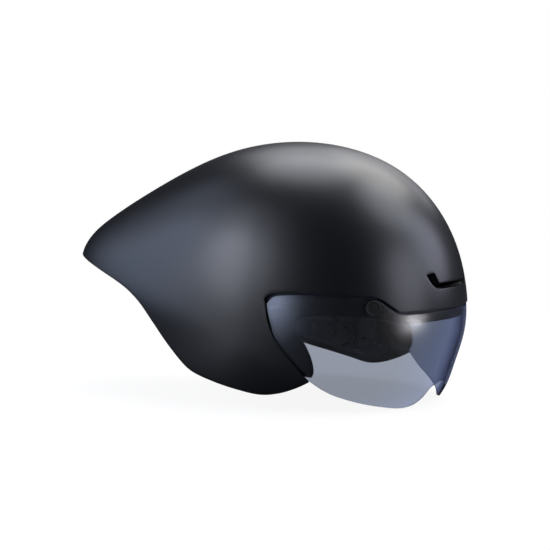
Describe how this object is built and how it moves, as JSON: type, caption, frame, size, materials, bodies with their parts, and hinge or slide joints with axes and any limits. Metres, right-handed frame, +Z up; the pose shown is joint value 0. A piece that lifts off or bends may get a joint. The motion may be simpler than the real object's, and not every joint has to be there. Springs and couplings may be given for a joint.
{
  "type": "aero time trial helmet",
  "caption": "Teardrop time trial helmet with ear flaps, a wrap-round magnetic visor, a foam liner, straps and a dial-tightened cradle.",
  "frame": {"origin": "middle of the wearer's head at the brow line, where the head ellipsoid is centred", "axes": "+X forward out of the face, +Y to the wearer's left, +Z up through the crown"},
  "size_m": [0.3285, 0.2008, 0.1942],
  "materials": {
    "shell": "satin paint over a moulded polycarbonate shell",
    "seat": "matte black nylon",
    "foam": "fine-beaded expanded foam",
    "trim": "soft black rubber",
    "pad": "brushed knit over soft foam",
    "webbing": "flat woven tape",
    "fitting": "moulded acetal",
    "cradle": "matte black nylon",
    "band": "flexible matte nylon",
    "dial": "soft-touch grip",
    "lens": "smoke-tinted clear polycarbonate",
    "button": "satin dark grey",
    "magnet": "nickel plated",
    "steel": "bright steel"
  },
  "bodies": {
    "helmet": {"outer_shell": "shell", "visor_seat": "seat", "foam_liner": "foam", "brow_foam": "foam", "tail_undertray": "seat", "rim_bead": "trim", "brow_pad": "pad", "crown_pads": "pad", "side_pad_left": "pad", "side_pad_right": "pad", "flap_pad_left": "pad", "flap_pad_right": "pad", "seat_magnets": "magnet", "strap_anchors": "fitting", "front_strap_left": "webbing", "front_strap_right": "webbing", "rear_strap_left": "webbing", "rear_strap_right": "webbing", "strap_divider_left": "fitting", "strap_divider_right": "fitting", "chin_strap_left": "webbing", "chin_strap_right": "webbing", "buckle_socket": "fitting", "buckle_plug": "fitting", "height_rail": "fitting"},
    "visor": {"visor_lens": "lens", "button_left": "button", "button_right": "button", "lens_magnets": "magnet"},
    "cradle": {"cradle_yoke": "cradle", "dial_cover": "cradle", "cover_screws": "steel", "cradle_pad": "pad"},
    "left_band": {"band_left": "band", "band_pad_left": "pad"},
    "right_band": {"band_right": "band", "band_pad_right": "pad"},
    "dial": {"dial_knob": "dial", "pinion": "fitting", "axle_screw": "steel"}
  },
  "joints": [
    {"name": "visor_pull", "type": "slide", "parent": "helmet", "child": "visor", "axis": [0.9397, 0, -0.342], "range_m": [0, 0.12]},
    {"name": "cradle_height", "type": "slide", "parent": "helmet", "child": "cradle", "axis": [0.309, 0, 0.9511], "range_m": [-0.009, 0.009]},
    {"name": "dial_turn", "type": "hinge", "parent": "cradle", "child": "dial", "pos_m": [-0.10956, 0, -0.00549], "axis": [0.9511, 0, -0.309], "range_deg": [0, 143.2]},
    {"name": "left_draw", "type": "slide", "parent": "cradle", "child": "left_band", "axis": [0, -1, 0], "range_m": [0, 0.01]},
    {"name": "right_draw", "type": "slide", "parent": "cradle", "child": "right_band", "axis": [0, 1, 0], "range_m": [0, 0.01]}
  ],
  "couplings": [
    {"joint": "left_draw", "follows": "dial_turn", "m_per_rad": 0.004},
    {"joint": "right_draw", "follows": "dial_turn", "m_per_rad": 0.004}
  ]
}
